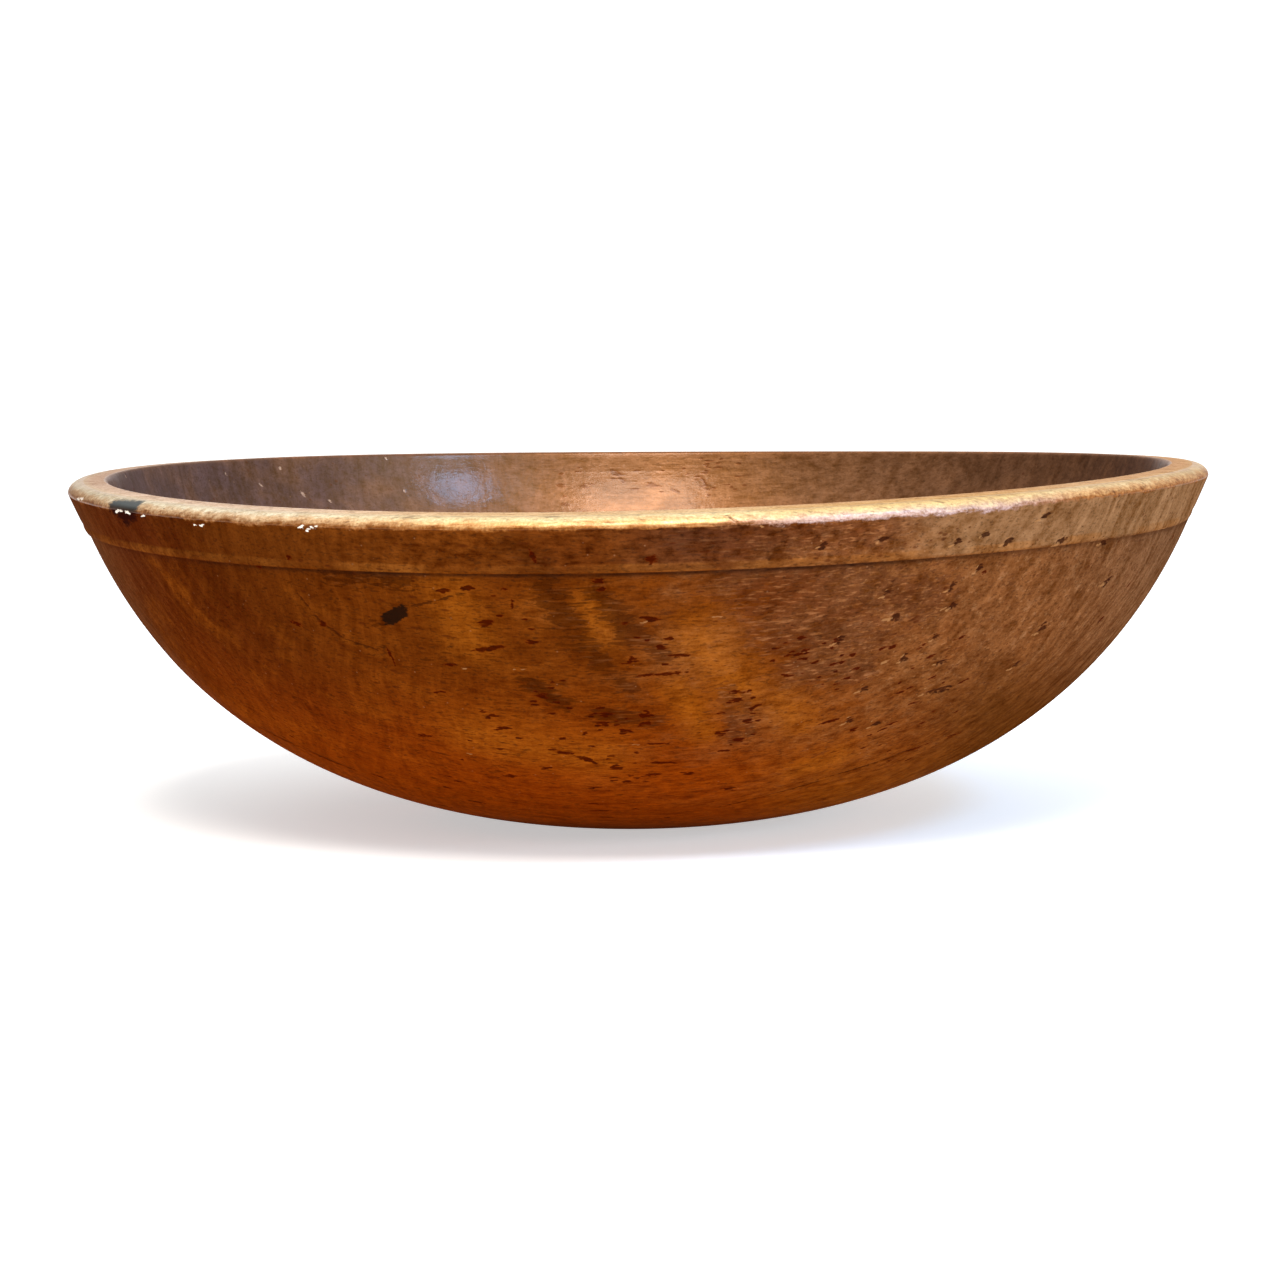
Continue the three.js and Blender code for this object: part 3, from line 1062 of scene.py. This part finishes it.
def add_marks(n, colour, wood):
    """Flecks, pits, cracks, knots, nicks and chips, with ragged edges."""
    fray = n.swing(n.noise(n.stretch(wood.block, (0.35, 0.7, 1)), 0.55, 2), 0.4)

    def share(name, thin=0.15, full=0.75):
        level = n.attribute(name)
        return n.remap(n.plus(level, n.times(fray, n.remap(level, 0, 0.3))), thin, full)

    fleck = share("fleck", 0.08, 0.65)
    red = n.blend(n.remap(fleck, 0.4, 1), srgb(86, 27, 2), srgb(54, 9, 0))
    colour = n.blend(n.times(fleck, 0.92), colour, red)
    pit = share("pit")
    brown = n.blend(n.remap(pit, 0.3, 0.9), srgb(84, 42, 18), srgb(48, 19, 7))
    colour = n.blend(n.times(pit, 0.88), colour, brown)
    colour = n.blend(n.times(share("crack"), 0.7), colour, srgb(50, 18, 3))
    knot = n.remap(n.plus(n.attribute("knot"), n.times(fray, 0.8)), 0.1, 0.6)
    colour = n.blend(n.times(knot, 0.95), colour, srgb(24, 12, 6))
    stain = n.blend(wood.rim(0.2, 2.2), srgb(20, 12, 8), srgb(60, 76, 80))
    colour = n.blend(n.remap(n.plus(n.attribute("stain"), n.times(fray, 0.4)), 0.25, 0.85), colour, stain)
    pale = n.blend(wood.rim(8, 12), srgb(146, 100, 60), srgb(172, 142, 122))
    colour = n.blend(n.times(share("nick"), 0.72), colour, pale)
    return n.blend(share("chip"), colour, srgb(236, 228, 214))


def make_wood(name, roughness, metal, shine, coat, bump_height):
    """The whole bowl's colours, with the shine of one of its two finishes."""
    material = bpy.data.materials.new(name)
    material.use_nodes = True
    n = Nodes(material.node_tree)
    wood = make_figure(n)
    outside = add_clouds(n, oiled_colour(n, wood), wood)
    colour = n.blend(wood.rim(11.6, 12.6), outside, dry_colour(n, wood))
    for add_layer in (add_band_lines, add_grain, add_rim_wear, add_dashes, add_marks):
        colour = add_layer(n, colour, wood)
    worn = n.times(wood.rim(1.6, 0.2), wood.along(75, 100))
    patchy = n.remap(wood.blotch, 0.3, 0.7, roughness - 0.06, roughness + 0.06)
    relief = n.plus(n.times(wood.hatch, 0.5), n.plus(wood.mottle, n.times(wood.dapple, 2.5)))
    n.shade({
        "Base Color": colour, "Roughness": n.plus(patchy, n.times(worn, 0.4)), "Metallic": metal,
        "Specular IOR Level": shine, "Specular Tint": srgb(255, 170, 84),
        "Coat Weight": coat, "Coat Roughness": 0.16,
        "Normal": n.bump(relief, bump_height), "Coat Normal": n.bump(relief, 0.7 * bump_height)})
    return material


# Studio: lights by their heading from the bowl, distance and size in metres, strength and colour

LIGHTS = {
    "key": ((-0.03, -0.6, 0.79), 2.4, 1.0, 1.25, (1, 0.94, 0.86)),
    "fill": ((0.6, -0.78, 0.22), 2.4, 1.0, 0.16, (1, 0.97, 0.94)),
    "window": ((0.56, -0.49, 0.65), 2.0, 0.36, 0.46, (0.25, 0.55, 1)),
    "side_window": ((0.82, -0.51, 0.25), 2.0, 0.4, 0.3, (0.55, 0.82, 1)),
}


def make_area_light(name, heading, distance, size, strength, colour):
    """Soft box that shines at the bowl. Strength 1 lights a white sheet that faces it to full white."""
    data = bpy.data.lights.new(name, "AREA")
    data.size = size
    data.energy = strength * (math.pi * distance) ** 2
    data.color = colour
    light = add_object(name, data)
    heading = Vector(heading).normalized()
    light.location = heading * distance + Vector((0, 0, HEIGHT / 2 * MM))
    light.rotation_euler = heading.to_track_quat("Z", "Y").to_euler()


def make_studio():
    """A warm key light, a weak fill, two cool windows, dim sides, a bright ceiling and a white wall."""
    for name, light in LIGHTS.items():
        make_area_light(name, *light)
    world = bpy.data.worlds.new("studio")
    world.use_nodes = True
    n = Nodes(world.node_tree)
    across, depth, up = n.axes(n.add("ShaderNodeTexCoord", {}, "Generated"))
    sides = n.remap(across, -0.5, 0.9, 0.15, 0.42)
    ceiling = n.remap(up, 0.3, 0.9, 0, 0.9)
    wall = n.remap(depth, 0.95, 0.974, 0, 1.2)
    background = world.node_tree.nodes["Background"]
    n.feed(background.inputs["Color"], (1, 1, 1, 1))
    n.feed(background.inputs["Strength"], n.math("MAXIMUM", n.plus(sides, ceiling), wall))
    bpy.context.scene.world = world
    bpy.context.scene.view_settings.view_transform = "Standard"


def make_floor():
    """A wide white sheet, bright enough to melt into the background."""
    reach = 30
    corners = [(-reach, -reach, 0), (reach, -reach, 0), (reach, reach, 0), (-reach, reach, 0)]
    mesh = bpy.data.meshes.new("floor")
    mesh.from_pydata(corners, [], [(0, 1, 2, 3)])
    floor = add_object("floor", mesh)
    material = bpy.data.materials.new("floor")
    material.use_nodes = True
    Nodes(material.node_tree).shade({
        "Base Color": (0.75, 0.75, 0.75, 1), "Emission Color": (1, 1, 1, 1), "Emission Strength": 0.5,
        "Roughness": 0.8, "Specular IOR Level": 0.1})
    mesh.materials.append(material)


make_camera()
bowl = make_bowl()
bowl.data.materials.append(make_wood(
    "oiled_wood", roughness=0.42, metal=0.15, shine=0.0, coat=0.0, bump_height=0.12))
bowl.data.materials.append(make_wood(
    "rubbed_wood", roughness=0.46, metal=0.25, shine=1.0, coat=0.2, bump_height=0.06))
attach(bowl, "root")
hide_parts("bowl")
make_studio()
make_floor()
